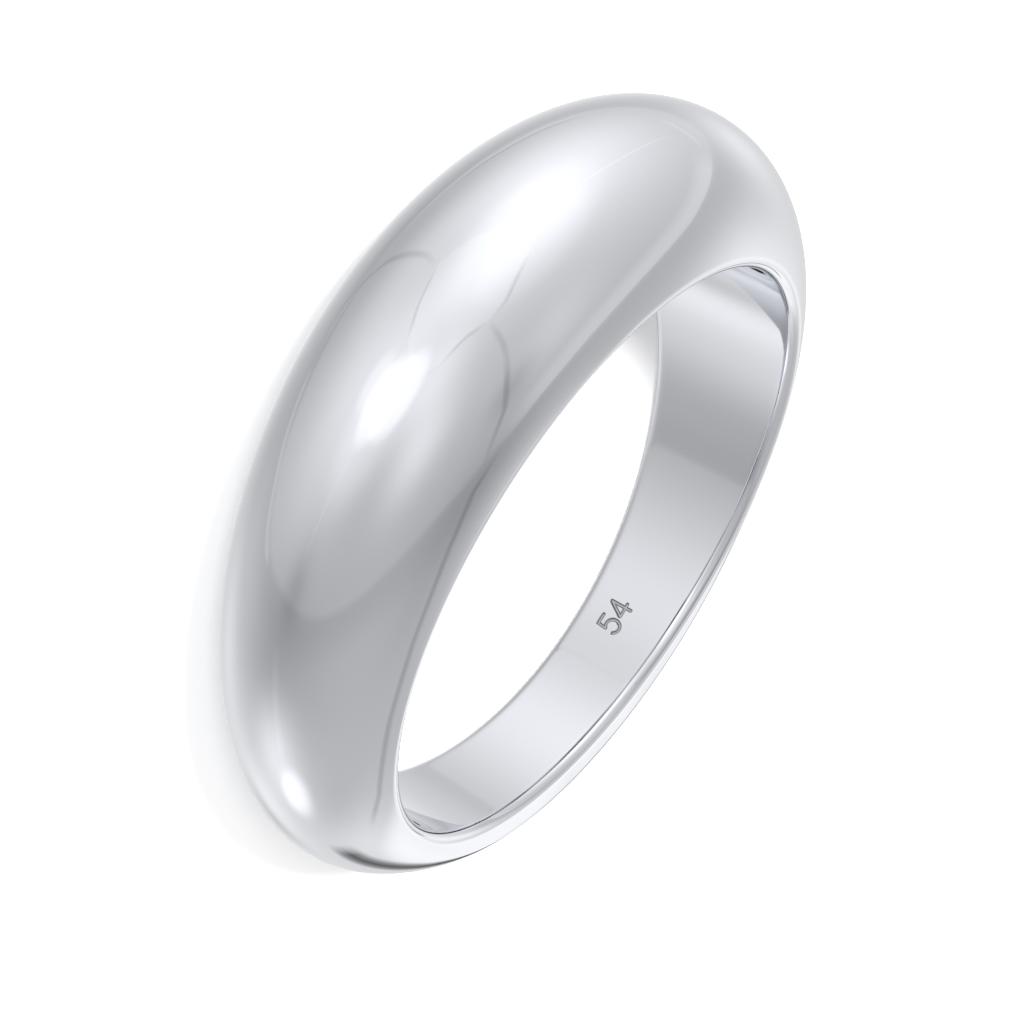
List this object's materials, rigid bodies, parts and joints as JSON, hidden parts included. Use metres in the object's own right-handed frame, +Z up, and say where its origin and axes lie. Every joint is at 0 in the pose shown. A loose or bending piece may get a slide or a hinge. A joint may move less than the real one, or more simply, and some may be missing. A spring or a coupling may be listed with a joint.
{
  "type": "chunky domed ring",
  "caption": "Plain chunky finger ring in polished silver, with a smooth dome that tapers down both shoulders to a narrow shank. It lies on its side.",
  "frame": {"origin": "on the surface that the ring lies on, under the middle of its outside", "axes": "+Z up from that surface, 5.9 degrees off the finger hole's axis. The dome faces -Y and the thin back of the shank faces +Y. +X is to the right, seen from the dome."},
  "size_m": [0.0224, 0.0222, 0.0067],
  "materials": {
    "silver": "cast sterling silver, buffed to a mirror polish"
  },
  "bodies": {
    "root": {"ring": "silver"}
  },
  "joints": []
}
